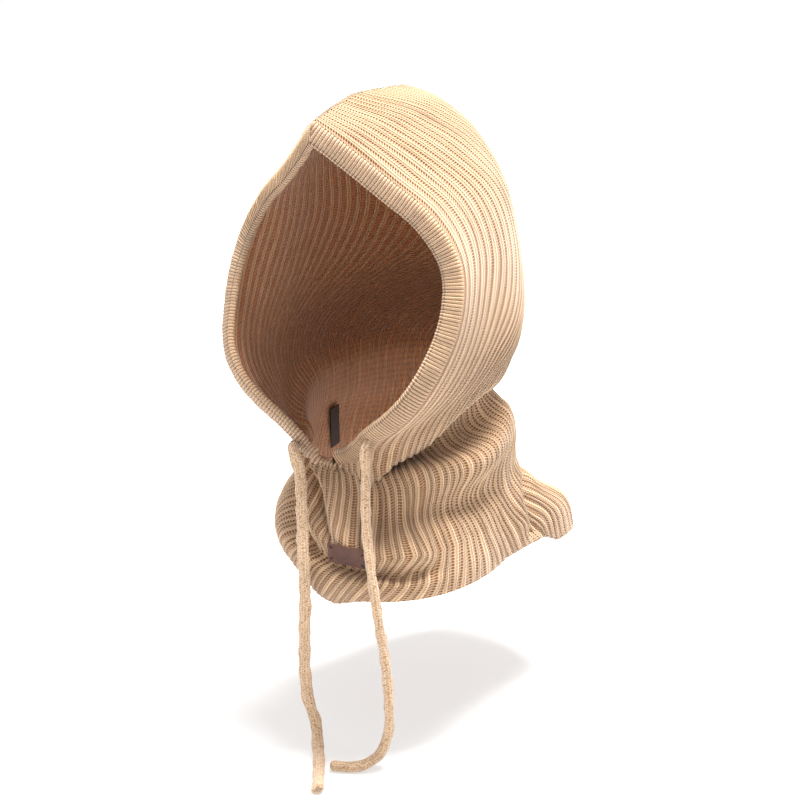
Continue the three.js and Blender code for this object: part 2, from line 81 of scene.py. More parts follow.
# Height of the ribs on the cowl and the hood, where it changes, how uneven it is, its share at
# the hem, and the u from which it is whole.
RIB_COWL = 0.85
RIB_HOOD = 0.65
RIB_CHANGE = (0.2, 0.34)
RIB_UNEVEN = 0.25
RIB_WAVES = [(0.07, 4.0, 1.0), (0.19, -7.0, 2.0)]
RIB_AT_HEM = 0.35
RIB_HEM_END = 0.03

# How far the ribs sway sideways, as a share of a rib, and the share of v that stays straight
# at the front and the back.
SWAY = 0.30
SWAY_WAVES = [(0.31, 2.1, 0.4), (0.47, -3.3, 1.9), (0.13, 5.2, 3.0)]
SWAY_EDGE = 0.03

# Rolled edge of the hem, as angles from the inner face at 180 round towards the outer face,
# and the place in the stitch pattern of the lip inside it.
HEM_ROLL = (180, 135, 90, 45)
HEM_LIP_COURSE = -3.0

# Where the wall is thin at the chin: from and to in u, and the end in v.
CHIN_LOW = (0.235, 0.262)
CHIN_HIGH = (0.31, 0.35)
CHIN_SIDE = (0.16, 0.30)

# u from which the inner face keeps to its own half.
SEAM_START = 0.9

# Half sections from the hem to the crown seam: u, height at the front, side and back, depth
# at the front, side and back, half width on the left and right, half width of the face
# opening, sideways place of the front, fullness of the back.
SECTIONS = np.array([
    (0.000, 0, 4, -4, -112, 15, 172, 97, 70, 0, 30, 3.1),
    (0.045, 13, 17, 9, -119, 15, 161, 97, 79, 0, 28, 2.9),
    (0.110, 36, 44, 28, -109, 12, 121, 92, 82, 0, 22, 2.4),
    (0.170, 56, 70, 54, -92, 8, 101, 89, 76, 0, 14, 2.1),
    (0.210, 71, 92, 88, -81, 6, 101, 88, 72, 0, 8, 2.1),
    (0.245, 81, 112, 117, -76, 4, 90, 75, 66, 0, 3, 2),
    (0.275, 88, 131, 141, -73, 3, 82, 69, 66, 0, 0, 2),
    (0.290, 92, 137, 149, -74, 3, 85, 73, 70, 13, 0, 2),
    (0.320, 107, 144, 160, -80, 2, 93, 83, 79, 34, 0, 2),
    (0.365, 125, 156, 172, -87, 6, 103, 91, 88, 59, 0, 2),
    (0.450, 158, 178, 193, -87, 8, 113, 95, 95, 89, 0, 2),
    (0.550, 205, 213, 220, -67, 8, 113, 94, 95, 103, 0, 2),
    (0.650, 250, 251, 252, -54, 8, 107, 89, 89, 98, 0, 2),
    (0.750, 287, 287, 287, -59, 10, 98, 79, 79, 75.5, 0.5, 2),
    (0.840, 312, 314, 314, -72, 10, 86, 63, 63, 48, 1, 2),
    (0.920, 335, 340, 338, -86, 6, 64, 43, 43, 23, 1, 2),
    (0.970, 346, 356, 353, -93, -14, 42, 24, 24, 11, 0.5, 2),
    (1.000, 354, 364, 361, -97, -42, 18, 0, 0, 0, 0, 2),
])

# Folds: direction, path as (u, v) with v below 0 on the wearer's right, width on the far and
# near side of the path, width past its ends, depth.
FOLDS = [
    # The pocket under the hood's overhang and the swag below it.
    ("normal", [(0.264, 0.20), (0.257, 0.30), (0.250, 0.40), (0.247, 0.48)],
     0.020, 0.018, 0.050, -11),
    ("normal", [(0.226, 0.26), (0.214, 0.36), (0.212, 0.44), (0.225, 0.54), (0.236, 0.66)],
     0.022, 0.018, 0.040, 10),
    # The lower edge of the hood hangs over the neck.
    ("up", [(0.283, 0.05), (0.285, 0.08)], 0.014, 0.035, 0.020, -11),
    ("up", [(0.285, 0.11), (0.290, 0.24)], 0.014, 0.035, 0.030, -5),
    ("normal", [(0.288, 0.12), (0.296, 0.28), (0.302, 0.48), (0.300, 0.60)],
     0.018, 0.040, 0.040, 6),
    # Two columns at the front of the neck, each with a valley on the wearer's right of it.
    ("normal", [(0.262, -0.19), (0.225, -0.165), (0.185, -0.13), (0.150, -0.085),
                (0.112, -0.015)], 0.011, 0.030, 0.020, 7),
    ("normal", [(0.250, -0.245), (0.205, -0.215), (0.150, -0.165), (0.105, -0.09)],
     0.030, 0.012, 0.020, -6),
    ("normal", [(0.245, -0.085), (0.215, -0.045), (0.180, -0.018), (0.145, 0.004),
                (0.112, 0.030)], 0.010, 0.030, 0.020, 8),
    ("normal", [(0.235, -0.12), (0.206, -0.085), (0.165, -0.050), (0.125, -0.01)],
     0.014, 0.010, 0.020, -5),
    ("normal", [(0.255, 0.105), (0.200, 0.112), (0.140, 0.118)], 0.016, 0.016, 0.030, -5),
    # The rolled hem at the wearer's right and the roll beside it at the front.
    ("normal", [(0.085, -0.18), (0.088, -0.50)], 0.042, 0.042, 0.060, 11),
    ("normal", [(0.100, 0.09), (0.088, 0.20)], 0.010, 0.040, 0.014, 7),
    ("normal", [(0.080, 0.03), (0.072, 0.09), (0.060, 0.145)], 0.009, 0.010, 0.012, -5),
    ("normal", [(0.160, -0.31), (0.125, -0.17), (0.098, -0.06), (0.085, 0.03), (0.077, 0.10),
                (0.066, 0.20)], 0.016, 0.016, 0.020, -6),
    # The flare and the hanging corner at the back, and the hollow under the swag.
    ("normal", [(0.130, 0.76), (0.000, 0.74)], 0.050, 0.050, 0.050, 8),
    ("up", [(0.000, 0.66), (0.000, 0.76)], 0.030, 0.030, 0.030, -11),
    ("normal", [(0.165, 0.745), (0.150, 0.725), (0.110, 0.65), (0.065, 0.60), (0.030, 0.57)],
     0.016, 0.016, 0.020, -6),
    ("normal", [(0.160, 0.69), (0.110, 0.60), (0.065, 0.545)], 0.018, 0.018, 0.020, 3),
    ("up", [(0.000, -0.085), (0.000, -0.025)], 0.045, 0.045, 0.030, -7),
    ("normal", [(0.165, 0.20), (0.150, 0.45)], 0.025, 0.025, 0.050, -7),
]
# Length of a step in v against one in u, and the steps of a path between two of its points.
AROUND = 0.62
PATH_STEPS = 4

# The hem is turned round towards the wearer's right, by this share of a half row at most. The
# turn grows and fades along v, reaches up to a u that is higher on the wearer's right, and
# ends this close to the centre back.
TWIST = 0.10
TWIST_GROWS = (-0.80, -0.45)
TWIST_FADES = (0.12, 0.55)
TWIST_TOP = 0.095
TWIST_TOP_RIGHT = 0.07
TWIST_RIGHT = (-0.32, -0.05)
TWIST_BACK = 0.1

# Share of a half row's ribs that have ended at the band, and those that go on to the back,
# by u.
RIB_END = np.array([(0.0, 0.0), (0.272, 0.0), (0.280, 0.02), (0.290, 0.055), (0.305, 0.092),
                    (0.325, 0.117), (0.35, 0.125), (1.0, 0.125)])
RIB_BACK = np.array([(0.0, 1.0), (0.2, 1.0), (0.3, 0.91), (0.5, 0.58), (0.6, 0.53),
                     (0.75, 0.53), (1.0, 0.59)])

# Face band: its section, its ribs, and how far it overlaps the knit.
BAND_WIDTH = 15.5
BAND_THICK = 6.6
BAND_TURN = math.pi / 6
BAND_OVERLAP = 2.6
BAND_GROOVE = 1.1
BAND_GROOVE_END = 0.018
BAND_ROWS = 160
BAND_RIB = 2.7
BAND_RIB_LIFT = 0.3
BAND_UNEVEN = 0.25
BAND_SPARE_RIBS = 9
BAND_SMOOTH_RIBS = 2
BAND_STEPS_PER_RIB = 8
BAND_SIDES = 22
BAND_SQUARE = 0.62

# How far the band sits behind the face of the knit, below and above these heights.
BAND_TUCK = (-0.3, 0.9)
BAND_TUCK_HEIGHTS = (85, 125)

# Eyelets, in the part of the band below BAND_MIDDLE_Z: their x, the cord's way out of them as
# shares across and out of the band, how far from the band's centre line the cord starts, and
# how far from there its next point is.
EYELET_X = {"left": 38.0, "right": -27.0}
EYELET_WAY = {"left": (0.0, 1.0), "right": (-0.93, 0.36)}
EYELET_START = {"left": 1.3, "right": 3.0}
EYELET_OUT = {"left": 6.6, "right": 6.0}
BAND_MIDDLE_Z = 215.0

# Cords: their tube, their knit and how uneven they are.
CORD_DIAMETER = 8.4
CORD_SIDES = 24
CORD_STEP = 0.8
CORD_CURVE_STEPS = 60
CORD_WALES = 6
CORD_COURSE = 2.2
CORD_SEED = {"left": 0.0, "right": 1.7}
CORD_UNEVEN = 0.07
CORD_FLAT = 0.12

# Share of the radius in the eyelet, and between which lengths the cord widens.
CORD_NARROW = 0.62
CORD_WIDENS = (2, 14)

# How much thicker the cord is at its end, from how far before it, and its round tip.
CORD_THICK_END = 0.06
CORD_END_RUN = (34, 8)
CORD_TIP = 3
CORD_TIP_RADIUS = 3.2

# Lumps on the cord: height, lumps round it, pitch along it and share of its seed.
CORD_LUMPS = [(0.22, 3, 5.3, 1), (0.18, 2, -3.1, 2), (0.14, 5, 1.9, 0)]

# Points of the free ends, after the eyelets.
CORDS = {
    "left": [(42, -96, 88), (48.5, -106, 62), (60, -118, 36), (67, -123, 14), (69.5, -121, -8),
             (74, -118, -45), (75.5, -116, -85), (71.5, -113, -104), (66, -117, -118),
             (58, -129, -124), (38.5, -140.5, -124)],
    "right": [(-22, -97, 100), (-16.5, -98, 86), (-10.5, -104, 68), (-1.5, -116, 50),
              (6, -126, 32), (7.5, -127, 14), (5, -123, -8), (1, -119, -45), (2, -117, -85),
              (8, -116, -104), (16, -124, -119), (30, -143, -124), (54, -179, -124)],
}

# Patch: up along the cloth under it, and how far it and its stitches are moved that way.
PATCH_UP = (0.0, 0.2, 0.98)
PATCH_RAISED = 4.5
PLATE_BEVEL_STEPS = 3
PLATE_SMOOTH = math.radians(40)

# Stage.
FLOOR = -128.4
FLOOR_SIZE = 120
LIGHT_TINT = (1.0, 0.99, 0.97)
WORLD_LIGHT = 0.68

# Colours of the finishes, as sRGB.
LOOK = {
    # A yarn's mid and deep tones are painted shade between its stitches; the cord's also colour
    # its speckles.
    "yarn_light": "f0c79b",
    "yarn_mid": "ab7b52",
    "yarn_deep": "4f2c16",
    # The inside's tones are the yarn painted darker and warmer, as painted shade of the hood's
    # inside.
    "inner_light": "dca26c",
    "inner_mid": "a9693b",
    "inner_deep": "5c2f12",
    "band_light": "eec69b",
    "band_mid": "a97a53",
    "band_deep": "5d341b",
    "cord_light": "f5d7b5",
    "cord_mid": "c2956b",
    "cord_deep": "8a5c3a",
    "leather": "6b4032",
    "leather_deep": "402820",
    "label": "26130a",
    "label_weft": "30190b",
    "thread": "1d120d",
    "floor": "bcbcbc",
    "floor_glow": "ffffff",
}

# How open the work between the ribs looks on each face of the knit; the holes' dark is painted
# shade.
OPEN_WORK = {"yarn": 1.0, "inner": 0.4}


def colour(text):
    """sRGB hex as the linear colour that shaders take."""
    parts = [int(text[i:i + 2], 16) / 255 for i in (0, 2, 4)]
    return [c / 12.92 if c <= 0.04045 else ((c + 0.055) / 1.055) ** 2.4 for c in parts] + [1]


def place(points):
    """Millimetres of the tables to metres of the part."""
    return (np.asarray(points, float) - ORIGIN) * MM


# Camera
def make_camera():
    """Camera of the photograph's view, which shows TARGET at TARGET_PIXEL."""
    back = np.array([math.sin(VIEW_TURN) * math.cos(VIEW_RISE),
                     -math.cos(VIEW_TURN) * math.cos(VIEW_RISE), math.sin(VIEW_RISE)])
    right = np.array([math.cos(VIEW_TURN), math.sin(VIEW_TURN), 0])
    up = np.cross(back, right)
    focal = PIXELS_PER_MM * VIEW_DISTANCE
    middle = IMAGE / 2
    aim = (-back + right * (middle - TARGET_PIXEL[0]) / focal
           + up * (TARGET_PIXEL[1] - middle) / focal)
    bpy.ops.object.camera_add(location=place(TARGET + back * VIEW_DISTANCE))
    camera = bpy.context.object
    camera.rotation_mode = "QUATERNION"
    camera.rotation_quaternion = Vector(aim).to_track_quat("-Z", "Y")
    camera.data.sensor_width = SENSOR
    camera.data.lens = focal / IMAGE * SENSOR
    camera.data.clip_start, camera.data.clip_end = CLIP
    bpy.context.scene.camera = camera


make_camera()


# Shared helpers
def unit(vectors):
    return vectors / (np.linalg.norm(vectors, axis=-1, keepdims=True) + 1e-12)


def through(x, xs, fs):
    """Smooth curve through a table's rows."""
    h = np.diff(xs)
    rise = np.diff(fs, axis=0) / h[:, None]
    slope = np.zeros_like(fs)
    share = (h[1:] / (h[:-1] + h[1:]))[:, None]
    slope[1:-1] = rise[:-1] * share + rise[1:] * (1 - share)
    slope[0], slope[-1] = rise[0], rise[-1]
    i = np.clip(np.searchsorted(xs, x, side="right") - 1, 0, len(xs) - 2)
    t = ((x - xs[i]) / h[i])[:, None]
    span = h[i][:, None]
    return ((2 * t**3 - 3 * t**2 + 1) * fs[i] + (t**3 - 2 * t**2 + t) * span * slope[i]
            + (3 * t**2 - 2 * t**3) * fs[i + 1] + (t**3 - t**2) * span * slope[i + 1])


def smoothstep(x, low, high):
    t = np.clip((x - low) / (high - low), 0, 1)
    return t * t * (3 - 2 * t)


def curve_points(points, per_span):
    """Centripetal curve through points, with its own ends."""
    p = np.array(points, float)
    p = np.vstack([2 * p[0] - p[1], p, 2 * p[-1] - p[-2]])
    made = []
    for k in range(1, len(p) - 2):
        a, b, c, d = p[k - 1:k + 3]
        t0 = 0.0
        t1 = t0 + np.linalg.norm(b - a) ** 0.5
        t2 = t1 + np.linalg.norm(c - b) ** 0.5
        t3 = t2 + np.linalg.norm(d - c) ** 0.5
        t = np.linspace(t1, t2, per_span, endpoint=False)[:, None]
        a1 = (t1 - t) / (t1 - t0) * a + (t - t0) / (t1 - t0) * b
        a2 = (t2 - t) / (t2 - t1) * b + (t - t1) / (t2 - t1) * c
        a3 = (t3 - t) / (t3 - t2) * c + (t - t2) / (t3 - t2) * d
        b1 = (t2 - t) / (t2 - t0) * a1 + (t - t0) / (t2 - t0) * a2
        b2 = (t3 - t) / (t3 - t1) * a2 + (t - t1) / (t3 - t1) * a3
        made.append((t2 - t) / (t2 - t1) * b1 + (t - t1) / (t2 - t1) * b2)
    return np.vstack(made + [p[-2:-1]])


def running_length(points):
    return np.r_[0, np.cumsum(np.linalg.norm(np.diff(points, axis=0), axis=1))]


def at_lengths(want, run, points):
    """Points of a line at the wanted running lengths."""
    return np.stack([np.interp(want, run, points[:, c]) for c in range(3)], -1)


def resample(points, count):
    """The same line with points an even distance apart, and its length."""
    run = running_length(points)
    return at_lengths(np.linspace(0, run[-1], count), run, points), run[-1]


def ripple(a, b, waves):
    """Fixed uneven pattern from a few sines, about -1 to 1."""
    total = sum(np.sin(2 * math.pi * (fa * a + fb * b) + phase) for fa, fb, phase in waves)
    return total / len(waves)


def grid_object(name, points, uv, around=False, skip=None):
    """Mesh of a grid of points; around joins its last column to its first."""
    rows, columns = points.shape[:2]
    index = np.arange(rows * columns).reshape(rows, columns)
    right = np.roll(index, -1, axis=1) if around else index[:, 1:]
    left = index if around else index[:, :-1]
    faces = np.stack([left[:-1], right[:-1], right[1:], left[1:]], -1).reshape(-1, 4)
    if skip is not None:
        faces = faces[~skip.reshape(-1)]
    mesh = bpy.data.meshes.new(name)
    mesh.from_pydata(place(points).reshape(-1, 3).tolist(), [], faces.tolist())
    layer = mesh.uv_layers.new(name="stitches")
    corner = uv.reshape(-1, 2)[faces.reshape(-1)].copy()
    if around:
        # The faces that join the two columns go on with the pattern, a whole turn further.
        turn = uv[0, -1, 0] - uv[0, 0, 0] + uv[0, 1, 0] - uv[0, 0, 0]
        four = corner.reshape(-1, 4, 2)
        wrap = (faces[:, 1] % columns) == 0
        four[wrap, 1, 0] += turn
        four[wrap, 2, 0] += turn
    layer.data.foreach_set("uv", corner.reshape(-1).astype(np.float32))
    work = bmesh.new()
    work.from_mesh(mesh)
    bmesh.ops.remove_doubles(work, verts=work.verts, dist=MERGE * MM)
    work.to_mesh(mesh)
    work.free()
    mesh.polygons.foreach_set("use_smooth", [True] * len(mesh.polygons))
    mesh.update()
    made = bpy.data.objects.new(name, mesh)
    bpy.context.collection.objects.link(made)
    return made


# Knit surface
def section(row, side):
    """One half section from the front to the back, as points and running lengths."""
    u, zf, zs, zb, yf, ys, yb, left, right, rim, lean, square = row
    width = left if side > 0 else right
    angle = np.linspace(0, math.pi / 2, SECTION_STEPS)
    c, s = np.clip(np.cos(angle), 0, 1), np.sin(angle)
    is_open = smoothstep(u, RIM_START, RIM_OPEN)
    line = 1 - angle / (math.pi / 2)
    rise = c**SECTION_RISE
    front = np.stack([(rim + (width - rim) * s) * side + lean * c,
                      ys + (yf - ys) * (c + (line - c) * is_open),
                      zs + (zf - zs) * (rise + (line - rise) * is_open)], -1)
    power = 2 / square
    back = np.stack([width * side * c**power, ys + (yb - ys) * s**power,
                     zs + (zb - zs) * s**SECTION_RISE], -1)[1:]
    points = np.vstack([front, back])
    return points, running_length(points)


def smooth_surface(us, vs, side):
    """Points of a half; v below 0 goes on over the front into the other half."""
    us = np.clip(us, 0, 1)
    rows = through(us, SECTIONS[:, 0], SECTIONS[:, 1:])
    out = np.zeros(vs.shape + (3,))
    for i, u in enumerate(us):
        row = np.r_[u, rows[i]]
        points, run = section(row, side)
        want = vs[i] * run[-1]
        if u < RIM_START:
            beyond, beyond_run = section(row, -side)
            want = np.where(vs[i] < 0, vs[i] * beyond_run[-1], want)
            points = np.vstack([beyond[:0:-1], points])
            run = np.r_[-beyond_run[:0:-1], run]
        out[i] = at_lengths(want, run, points)
    return out


def normals_of(surface, us, vs, side):
    up = surface(us + NORMAL_STEP, vs, side) - surface(us - NORMAL_STEP, vs, side)
    along = surface(us, vs + NORMAL_STEP, side) - surface(us, vs - NORMAL_STEP, side)
    return unit(np.cross(along, up) * side)


def from_path(u, v, path):
    """Distance beside a smooth path and past its ends."""
    path = np.array(path)
    if len(path) > 2:
        steps = np.linspace(0, len(path) - 1, PATH_STEPS * (len(path) - 1) + 1)
        path = through(steps, np.arange(len(path), dtype=float), path)
    last = len(path) - 2
    best = None
    for k, ((u0, v0), (u1, v1)) in enumerate(zip(path[:-1], path[1:])):
        au, av = u1 - u0, (v1 - v0) * AROUND
        length = math.hypot(au, av)
        pu, pv = u - u0, (v - v0) * AROUND
        along = (pu * au + pv * av) / length
        beside = (pv * au - pu * av) / length
        past = along - np.clip(along, 0, length)
        reach = np.hypot(beside, past)
        ended = ((past < 0) & (k == 0)) | ((past > 0) & (k == last))
        found = [reach, np.where(ended, beside, np.sign(beside) * reach),
                 np.where(ended, past, 0)]
        if best is not None:
            near = reach < best[0]
            found = [np.where(near, a, b) for a, b in zip(found, best)]
        best = found
    return best[1], best[2]


def twist(u, v):
    """How far the hem is turned round under a place; v is below 0 on the wearer's right."""
    along = smoothstep(v, *TWIST_GROWS) * (1 - smoothstep(v, *TWIST_FADES))
    top = TWIST_TOP + TWIST_TOP_RIGHT * (1 - smoothstep(v, *TWIST_RIGHT))
    return -TWIST * along * (1 - np.clip(u / top, 0, 1))


def folded(us, vs, side):
    """The cloth with its folds, without ribs."""
    u = np.broadcast_to(np.asarray(us)[:, None], vs.shape)
    turned = vs + twist(u, vs * side) * side * np.clip((1 - vs) / TWIST_BACK, 0, 1)
    points = smooth_surface(us, turned, side)
    normal = normals_of(smooth_surface, us, vs, side)
    for way, path, far, near, end, depth in FOLDS:
        beside, past = from_path(u, turned * side, path)
        width = np.where(beside > 0, far, near)
        size = depth * np.exp(-((beside / width) ** 2) - (past / end) ** 2)
        points = points + size[..., None] * (normal if way == "normal" else np.array([0, 0, 1]))
    return points


def knit_rows():
    parts = [np.linspace(low, high, count, endpoint=False) for low, high, count in ROWS]
    return np.r_[np.concatenate(parts), 1.0]


def wale_place(us, w):
    """v on the surface for a wale w (0 front, 1 back), and the wale that is really there."""
    gone = np.interp(us, RIB_END[:, 0], RIB_END[:, 1])[:, None]
    back = np.minimum(through(us, RIB_BACK[:, 0], RIB_BACK[:, 1:]), 1)
    there = np.clip(w[None, :], gone, back)
    return (there - gone) / (back - gone), there


def knit_half(side, us, w):
    """Points and normals of a half without ribs, with the wale and v of each point."""
    v, there = wale_place(us, w)
    u = np.broadcast_to(us[:, None], v.shape)
    wale = there * WALES[side]
    inner_part = np.minimum(smoothstep(v, 0, SWAY_EDGE), smoothstep(1 - v, 0, SWAY_EDGE))
    shifted = v + SWAY / WALES[side] * ripple(wale, u, SWAY_WAVES) * inner_part
    points = folded(us, shifted, side)
    normal = normals_of(folded, us, shifted, side)
    return points, normal, wale * side, v


def both_halves(halves, k):
    """Result k of both halves in one row, from the left's back over the front to the right's."""
    return np.concatenate([halves[LEFT][k][:, ::-1], halves[RIGHT][k][:, 1:]], axis=1)


def shrunk(v):
    """Faces that have shrunk to nothing at the band or at the centre back."""
    corners = [v[:-1, :-1], v[1:, :-1], v[:-1, 1:], v[1:, 1:]]
    return (np.all([c <= 0 for c in corners], axis=0)
            | np.all([c >= 1 for c in corners], axis=0))


def knit_body():
    us = knit_rows()
    halves = {side: knit_half(side, us, np.linspace(0, 1, WALES[side] * COLUMNS_PER_WALE + 1))
              for side in (LEFT, RIGHT)}
    points, normal, wale, v = (both_halves(halves, k) for k in range(4))
    u = np.broadcast_to(us[:, None], v.shape)
    step = np.linalg.norm(np.diff(points, axis=0), axis=2)
    course = np.vstack([np.zeros(len(wale[0])), np.cumsum(step, axis=0)]) / COURSE
    height = RIB_COWL + (RIB_HOOD - RIB_COWL) * smoothstep(u, *RIB_CHANGE)
    height = height * (1 + RIB_UNEVEN * ripple(wale, u, RIB_WAVES))
    height = height * (RIB_AT_HEM + (1 - RIB_AT_HEM) * smoothstep(u, 0, RIB_HEM_END))
    crest = np.cos(2 * math.pi * wale)
    rim = smoothstep(u, RIM_START, RIM_OPEN)
    dip = BAND_GROOVE * (1 - smoothstep(v, 0, BAND_GROOVE_END)) * rim
    points = points + normal * (height * crest - dip)[..., None]
    points[v >= 1, 0] = 0
    points[-1, :, 0] = 0
    uv = np.stack([wale, course], -1)
    # The hem's rolled edge goes round to the inside, and ends in a lip on the inner face.
    down = unit(points[0] - points[1])
    edge = [points[2] - normal[2] * WALL]
    edge_uv = [np.stack([wale[0], np.full(len(wale[0]), HEM_LIP_COURSE)], -1)]
    for angle in HEM_ROLL:
        a = math.radians(angle)
        edge.append(points[0] - normal[0] * WALL / 2 * (1 - math.cos(a))
                    + down * WALL / 2 * math.sin(a))
        edge_uv.append(np.stack([wale[0], np.full(len(wale[0]), -angle / 90.0)], -1))
    gone = shrunk(v)
    skip = np.concatenate([np.zeros((len(edge), gone.shape[1]), bool), gone])
    return grid_object("Knit_Outside", np.concatenate([edge, points]),
                       np.concatenate([edge_uv, uv]), skip=skip)


def knit_inside():
    us = knit_rows()[1:]
    w = np.linspace(0, 1, COLUMNS_INSIDE)
    halves = {side: knit_half(side, us, w) for side in (LEFT, RIGHT)}
    points, normal, wale, v = (both_halves(halves, k) for k in range(4))
    # The wall is thin in the tight folds at the chin, so that it doesn't come out through them.
    u = us[:, None]
    chin = (smoothstep(u, *CHIN_LOW) * (1 - smoothstep(u, *CHIN_HIGH))
            * (1 - smoothstep(v, *CHIN_SIDE)))
    points = points - normal * (INSIDE_DEPTH + (CHIN_WALL - INSIDE_DEPTH) * chin)[..., None]
    points[v >= 1, 0] = 0
    # Near the crown seam neither half reaches through the other.
    top = us > SEAM_START
    half = np.r_[np.ones(len(w)), -np.ones(len(w) - 1)]
    points[top, :, 0] = np.clip(points[top, :, 0] * half, 0, None) * half
    courses = us * HEM_TO_CROWN / COURSE_INSIDE
    uv = np.stack([wale, np.broadcast_to(courses[:, None], v.shape)], -1)
    return grid_object("Knit_Inside", points, uv, skip=shrunk(v))


# Face band
def even_blur(a, reach):
    """Smooth a line without moving its ends or their directions."""
    kernel = np.hanning(2 * reach + 3)[1:-1]
    kernel /= kernel.sum()
    half = len(kernel) // 2
    padded = np.vstack([2 * a[0] - a[half:0:-1], a, 2 * a[-1] - a[-2:-half - 2:-1]])
    return np.stack([np.convolve(padded[:, c], kernel, "valid") for c in range(3)], -1)


def band_half(side):
    """Centre line and axes of one half of the band, from the chin to the crown."""
    us = np.linspace(RIM_START, 1, BAND_ROWS)
    zero = np.zeros((len(us), 1))
    points = folded(us, zero, side)[:, 0]
    normal = normals_of(folded, us, zero, side)[:, 0]
    middle = points - normal * WALL / 2
    middle[[0, -1], 0] = 0
    run = running_length(middle)
    count = int(round(run[-1] / BAND_RIB)) * BAND_STEPS_PER_RIB + 1
    want = np.linspace(0, run[-1], count)
    blur = BAND_STEPS_PER_RIB * BAND_SMOOTH_RIBS
    middle, outward = (even_blur(at_lengths(want, run, a), blur) for a in (middle, normal))
    # Past its ends the half goes on straight, so that the other half can cut it.
    more = BAND_STEPS_PER_RIB * BAND_SPARE_RIBS
    far = np.arange(1, more + 1)[:, None]
    middle = np.vstack([middle[0] - far[::-1] * (middle[1] - middle[0]), middle,
                        middle[-1] + far * (middle[-1] - middle[-2])])
    outward = np.vstack([np.repeat(outward[:1], more, 0), outward,
                         np.repeat(outward[-1:], more, 0)])
    tangent = unit(np.gradient(middle, axis=0))

    def level(a):
        """Turned square to the band's run."""
        return unit(a - tangent * (a * tangent).sum(-1, keepdims=True))

    outward = level(outward)
    onward = np.cross(outward, tangent) * side
    ahead = level(np.broadcast_to([0.0, -1.0, 0.0], tangent.shape))
    inward = np.cross(ahead, tangent) * side
    across = inward * math.cos(BAND_TURN) + ahead * math.sin(BAND_TURN)
    face = ahead * math.cos(BAND_TURN) - inward * math.sin(BAND_TURN)

    def reach(a):
        """Half the band's size in a direction."""
        return (BAND_WIDTH * np.abs((across * a).sum(-1))
                + BAND_THICK * np.abs((face * a).sum(-1))) / 2

    low, high = BAND_TUCK
    tuck = low + (high - low) * smoothstep(middle[:, 2], *BAND_TUCK_HEIGHTS)
    centre = (middle + onward * (reach(onward) - BAND_OVERLAP)[:, None]
              + outward * ((WALL / 2 - reach(outward)) * tuck)[:, None])
    return centre, across, face


def cut_at_middle(strands, side):
    """Ends every strand of a half where it reaches the middle plane of the face opening."""
    out = strands.copy()
    count = len(strands)
    for s in range(strands.shape[1]):
        x = strands[:, s, 0] * side
        inside = np.where(x > 0)[0]
        first, last = inside[0], inside[-1]
        for edge, step in ((first, -1), (last, 1)):
            beyond = min(max(edge + step, 0), count - 1)
            share = x[edge] / (x[edge] - x[beyond] + 1e-9)
            place_there = strands[edge, s] + share * (strands[beyond, s] - strands[edge, s])
            place_there[0] = 0
            if step < 0:
                out[:edge, s] = place_there
            else:
                out[edge + 1:, s] = place_there
    return out


def squared(c):
    """A sine or cosine pushed outwards, so that a round section gets fuller corners."""
    return np.sign(c) * np.abs(c) ** BAND_SQUARE


def face_band():
    """The band as one closed ring, and the centre line and axes of its halves."""
    turn = np.linspace(0, 2 * math.pi, BAND_SIDES, endpoint=False)
    a = BAND_WIDTH / 2 * squared(np.cos(turn))
    b = BAND_THICK / 2 * squared(np.sin(turn))
    halves, lines = [], []
    for side in (LEFT, RIGHT):
        centre, across, face = band_half(side)
        step = np.arange(len(centre))
        rib = np.cos(2 * math.pi * step / BAND_STEPS_PER_RIB)
        uneven = ripple(step / len(centre), 0, [(31, 0, 0.2 + side), (53, 0, 1.7), (17, 0, 2.9)])
        lift = (BAND_RIB_LIFT * rib + BAND_UNEVEN * uneven)[:, None, None]
        strands = (centre[:, None] + across[:, None] * a[None, :, None] * (1 + lift / BAND_WIDTH)
                   + face[:, None] * b[None, :, None] * (1 + lift / (BAND_THICK / 2)))
        halves.append(cut_at_middle(strands, side))
        lines.append((centre, across, face))
    # The halves meet in the middle plane, at the crown and at the chin.
    left, right = halves[0], halves[1][::-1]
    for mine, other in ((-1, 0), (0, -1)):
        shared = (left[mine] + right[other]) / 2
        left[mine], right[other] = shared, shared
    points = np.concatenate([left, right[1:]])
    ring = np.arange(len(points)) / BAND_STEPS_PER_RIB
    along = np.cumsum(np.r_[0, np.hypot(np.diff(a), np.diff(b))])
    uv = np.stack(np.broadcast_arrays(along[None, :], ring[:, None]), -1)
    made = grid_object("Face_Band", points, uv, around=True)
    return made, dict(zip(("left", "right"), lines))


